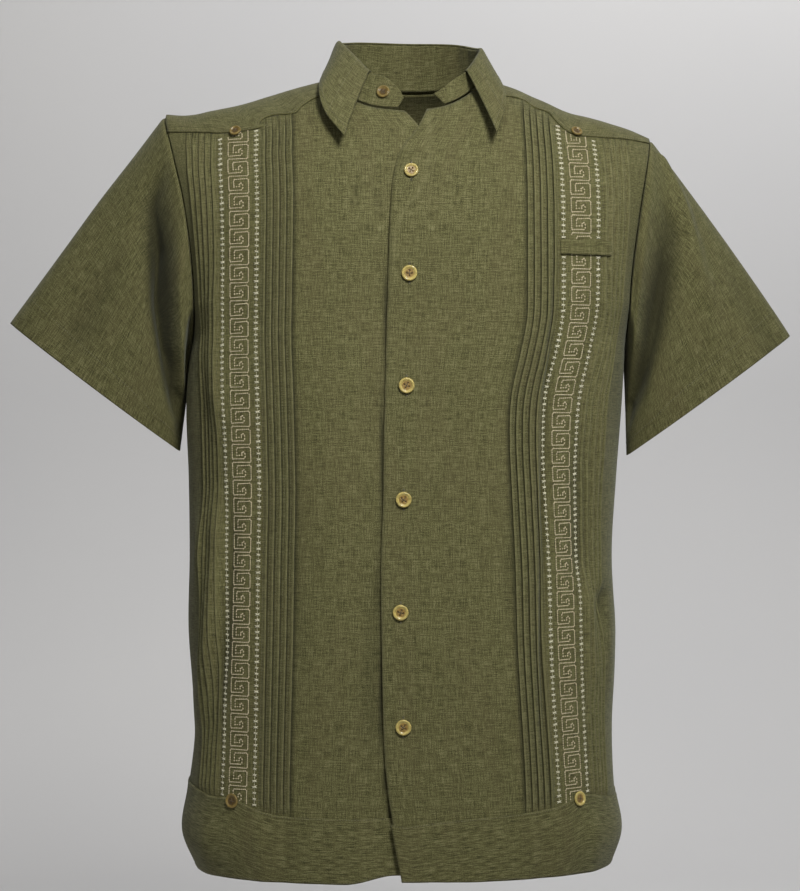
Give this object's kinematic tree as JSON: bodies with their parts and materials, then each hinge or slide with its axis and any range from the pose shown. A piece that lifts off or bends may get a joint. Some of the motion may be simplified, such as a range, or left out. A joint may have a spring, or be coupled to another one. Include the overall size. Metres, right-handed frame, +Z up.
{
  "type": "guayabera shirt",
  "caption": "Short-sleeved guayabera in olive cloth, worn and hollow: embroidered meander strips between pin tucks, yoke points, hem bands and front buttons.",
  "frame": {"origin": "centre of the neck at shoulder height, where the wearer's neck and shoulders hold the shirt up", "axes": "+Z up along the shirt's length, -Y the shirt's front, +X the wearer's left"},
  "size_m": [0.731, 0.259, 0.7764],
  "materials": {
    "cloth": "olive linen-look cloth with darker and lighter slubs both ways, matte",
    "buttons": "horn-look buttons, pale gold rims and brown sunk centres"
  },
  "bodies": {
    "root": {"front_right": "cloth", "front_left": "cloth", "back": "cloth", "yoke": "cloth", "sleeve_right": "cloth", "sleeve_left": "cloth", "collar_stand": "cloth", "collar_fall": "cloth", "hem_band_right": "cloth", "hem_band_left": "cloth", "hem_band_back": "cloth", "pocket_welt": "cloth", "button_stand": "buttons", "button_front_1": "buttons", "button_front_2": "buttons", "button_front_3": "buttons", "button_front_4": "buttons", "button_front_5": "buttons", "button_front_6": "buttons", "button_yoke_right": "buttons", "button_hem_right": "buttons", "button_yoke_left": "buttons", "button_hem_left": "buttons"}
  },
  "joints": []
}
